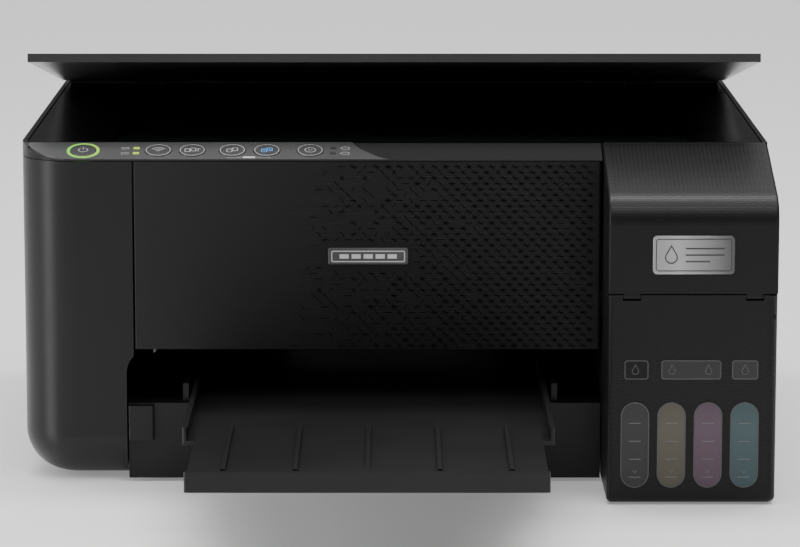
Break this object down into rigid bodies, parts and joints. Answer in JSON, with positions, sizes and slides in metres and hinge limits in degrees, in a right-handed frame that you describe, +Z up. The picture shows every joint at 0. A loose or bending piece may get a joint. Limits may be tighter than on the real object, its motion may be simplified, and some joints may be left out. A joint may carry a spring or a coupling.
{
  "type": "inkjet printer",
  "caption": "Ink-tank all-in-one inkjet printer with a flatbed scanner lid, tilted control panel, front ink tank unit with sight windows and a slide-out output tray.",
  "frame": {"origin": "on the floor, in the middle of the footprint with the output tray pulled out", "axes": "+X to the printer's right seen from the front, +Y to its back, +Z up"},
  "size_m": [0.375, 0.502, 0.2149],
  "materials": {
    "satin_black_plastic": "satin moulded ABS",
    "textured_black_plastic": "moulded with a fine relief pattern",
    "gloss_black_plastic": "polished",
    "grey_panel": "satin film",
    "dark_grey_plastic": "moulded",
    "rubber_black": "matt",
    "silver_badge": "brushed",
    "label_grey": "printed film",
    "scanner_glass": "clear float glass",
    "tank_black": "translucent, black ink inside",
    "tank_yellow": "translucent, yellow ink inside",
    "tank_magenta": "translucent, magenta ink inside",
    "tank_cyan": "translucent, cyan ink inside",
    "button_grey": "satin",
    "lit_green": "lit light guide",
    "mat_black": "smooth dark film on foam",
    "steel": "galvanised sheet and ground shafts",
    "belt_rubber": "ribbed",
    "circuit_green": "solder mask",
    "tube_clear": "soft tube"
  },
  "bodies": {
    "printer_body": {"left_side_cover": "satin_black_plastic", "right_side_cover": "satin_black_plastic", "front_cover": "textured_black_plastic", "lower_front_panel": "satin_black_plastic", "rear_cover": "satin_black_plastic", "base_housing": "dark_grey_plastic", "rubber_feet": "rubber_black", "case_screws": "steel", "front_badge": "silver_badge", "tank_housing": "textured_black_plastic", "ink_tank_black": "tank_black", "ink_tank_yellow": "tank_yellow", "ink_tank_magenta": "tank_magenta", "ink_tank_cyan": "tank_cyan", "ink_labels": "label_grey", "feeder_frame": "dark_grey_plastic", "platen": "dark_grey_plastic", "main_frame": "steel", "carriage_belt": "belt_rubber", "carriage_motor": "steel", "ink_tubes": "tube_clear", "power_supply": "dark_grey_plastic", "main_board": "circuit_green", "ac_inlet": "dark_grey_plastic"},
    "tank_lid": {"tank_cover": "textured_black_plastic", "tank_badge": "silver_badge"},
    "cap_black": {"tank_cap_black": "rubber_black"},
    "cap_yellow": {"tank_cap_yellow": "rubber_black"},
    "cap_magenta": {"tank_cap_magenta": "rubber_black"},
    "cap_cyan": {"tank_cap_cyan": "rubber_black"},
    "scanner_unit": {"scanner_base": "dark_grey_plastic", "scanner_top_frame": "gloss_black_plastic", "scanner_glass": "scanner_glass", "control_panel": "grey_panel", "panel_lights": "lit_green", "lid_hinges": "dark_grey_plastic"},
    "scan_head": {"scan_bar": "dark_grey_plastic"},
    "lid": {"lid_cover": "satin_black_plastic", "document_mat": "mat_black"},
    "power_key": {"power_button": "button_grey"},
    "wireless_key": {"wireless_button": "button_grey"},
    "status_key": {"status_button": "button_grey"},
    "mono_copy_key": {"mono_copy_button": "button_grey"},
    "colour_copy_key": {"colour_copy_button": "button_grey"},
    "stop_key": {"stop_button": "button_grey"},
    "tray": {"output_tray": "satin_black_plastic"},
    "tray_end": {"output_tray_extension": "satin_black_plastic"},
    "stopper": {"paper_stopper": "satin_black_plastic"},
    "guard": {"feeder_guard": "satin_black_plastic"},
    "support_lower": {"paper_support_base": "satin_black_plastic"},
    "support_upper": {"paper_support": "satin_black_plastic"},
    "guide": {"edge_guide": "dark_grey_plastic"},
    "pickup": {"pickup_roller": "rubber_black"},
    "feed": {"feed_roller": "steel"},
    "eject": {"eject_roller": "rubber_black"},
    "stars": {"star_wheels": "steel"},
    "carriage": {"print_carriage": "dark_grey_plastic"},
    "drive_pulley": {"motor_pulley": "steel"},
    "return_pulley": {"idler_pulley": "dark_grey_plastic"},
    "caps_lift": {"cap_station": "dark_grey_plastic"}
  },
  "joints": [
    {"name": "scanner_hinge", "type": "hinge", "parent": "printer_body", "child": "scanner_unit", "pos_m": [0, 0.223, 0.166], "axis": [-1, 0, 0], "range_deg": [0, 25]},
    {"name": "lid_hinge", "type": "hinge", "parent": "scanner_unit", "child": "lid", "pos_m": [0, 0.231, 0.174], "axis": [-1, 0, 0], "range_deg": [-8.85, 66.15]},
    {"name": "tank_cover_hinge", "type": "hinge", "parent": "printer_body", "child": "tank_lid", "pos_m": [0.146, -0.09475, 0.1038], "axis": [1, 0, 0], "range_deg": [0, 95]},
    {"name": "tank_cap_black_hinge", "type": "hinge", "parent": "printer_body", "child": "cap_black", "pos_m": [0.11805, -0.044, 0.1016], "axis": [-1, 0, 0], "range_deg": [0, 100]},
    {"name": "tank_cap_yellow_hinge", "type": "hinge", "parent": "printer_body", "child": "cap_yellow", "pos_m": [0.13595, -0.044, 0.1016], "axis": [-1, 0, 0], "range_deg": [0, 100]},
    {"name": "tank_cap_magenta_hinge", "type": "hinge", "parent": "printer_body", "child": "cap_magenta", "pos_m": [0.15385, -0.044, 0.1016], "axis": [-1, 0, 0], "range_deg": [0, 100]},
    {"name": "tank_cap_cyan_hinge", "type": "hinge", "parent": "printer_body", "child": "cap_cyan", "pos_m": [0.17175, -0.044, 0.1016], "axis": [-1, 0, 0], "range_deg": [0, 100]},
    {"name": "tray_slide", "type": "slide", "parent": "printer_body", "child": "tray", "axis": [0, 1, 0], "range_m": [0, 0.104]},
    {"name": "extension_slide", "type": "slide", "parent": "tray", "child": "tray_end", "axis": [0, 1, 0], "range_m": [0, 0.101]},
    {"name": "stopper_flip", "type": "hinge", "parent": "tray_end", "child": "stopper", "pos_m": [-0.0122, -0.246, 0.0481], "axis": [1, 0, 0], "range_deg": [0, 85]},
    {"name": "guard_flip", "type": "hinge", "parent": "printer_body", "child": "guard", "pos_m": [0, 0.24, 0.161], "axis": [1, 0, 0], "range_deg": [0, 60]},
    {"name": "support_tilt", "type": "hinge", "parent": "printer_body", "child": "support_lower", "pos_m": [0, 0.249, 0.097], "axis": [-1, 0, 0], "range_deg": [0, 25]},
    {"name": "support_slide", "type": "slide", "parent": "support_lower", "child": "support_upper", "axis": [0, 0, 1], "range_m": [0, 0.065]},
    {"name": "edge_guide_slide", "type": "slide", "parent": "printer_body", "child": "guide", "axis": [-1, 0, 0], "range_m": [0, 0.11]},
    {"name": "power_press", "type": "slide", "parent": "scanner_unit", "child": "power_key", "axis": [0, 0.3118, -0.9501], "range_m": [0, 0.0007], "stiffness_N_per_m": 300, "springref_m": -0.0005},
    {"name": "wireless_press", "type": "slide", "parent": "scanner_unit", "child": "wireless_key", "axis": [0, 0.3118, -0.9501], "range_m": [0, 0.0007], "stiffness_N_per_m": 300, "springref_m": -0.0005},
    {"name": "status_press", "type": "slide", "parent": "scanner_unit", "child": "status_key", "axis": [0, 0.3118, -0.9501], "range_m": [0, 0.0007], "stiffness_N_per_m": 300, "springref_m": -0.0005},
    {"name": "mono_copy_press", "type": "slide", "parent": "scanner_unit", "child": "mono_copy_key", "axis": [0, 0.3118, -0.9501], "range_m": [0, 0.0007], "stiffness_N_per_m": 300, "springref_m": -0.0005},
    {"name": "colour_copy_press", "type": "slide", "parent": "scanner_unit", "child": "colour_copy_key", "axis": [0, 0.3118, -0.9501], "range_m": [0, 0.0007], "stiffness_N_per_m": 300, "springref_m": -0.0005},
    {"name": "stop_press", "type": "slide", "parent": "scanner_unit", "child": "stop_key", "axis": [0, 0.3118, -0.9501], "range_m": [0, 0.0007], "stiffness_N_per_m": 300, "springref_m": -0.0005},
    {"name": "scan_bar_slide", "type": "slide", "parent": "scanner_unit", "child": "scan_head", "axis": [1, 0, 0], "range_m": [0, 0.295]},
    {"name": "carriage_slide", "type": "slide", "parent": "printer_body", "child": "carriage", "axis": [-1, 0, 0], "range_m": [0, 0.23], "deforming": ["ink_tubes"]},
    {"name": "motor_pulley_spin", "type": "hinge", "parent": "printer_body", "child": "drive_pulley", "pos_m": [-0.112, 0.122, 0.096], "axis": [0, -1, 0], "range_deg": [0, 2000]},
    {"name": "idler_pulley_spin", "type": "hinge", "parent": "printer_body", "child": "return_pulley", "pos_m": [0.17, 0.122, 0.096], "axis": [0, -1, 0], "range_deg": [0, 2000]},
    {"name": "feed_roller_spin", "type": "hinge", "parent": "printer_body", "child": "feed", "pos_m": [0, 0.096, 0.057], "axis": [1, 0, 0], "continuous": true},
    {"name": "eject_roller_spin", "type": "hinge", "parent": "printer_body", "child": "eject", "pos_m": [0, 0.042, 0.057], "axis": [1, 0, 0], "continuous": true},
    {"name": "star_wheels_spin", "type": "hinge", "parent": "printer_body", "child": "stars", "pos_m": [0, 0.042, 0.0664], "axis": [1, 0, 0], "continuous": true},
    {"name": "pickup_roller_spin", "type": "hinge", "parent": "printer_body", "child": "pickup", "pos_m": [0, 0.216, 0.078], "axis": [1, 0, 0], "continuous": true},
    {"name": "cap_station_lift", "type": "slide", "parent": "printer_body", "child": "caps_lift", "axis": [0, 0, -1], "range_m": [0, 0.004], "stiffness_N_per_m": 400, "springref_m": -0.004}
  ],
  "couplings": [
    {"joint": "motor_pulley_spin", "follows": "carriage_slide", "rad_per_m": 151.51},
    {"joint": "idler_pulley_spin", "follows": "carriage_slide", "rad_per_m": 151.51},
    {"joint": "eject_roller_spin", "follows": "feed_roller_spin", "ratio": 1},
    {"joint": "star_wheels_spin", "follows": "feed_roller_spin", "ratio": -1.25}
  ]
}
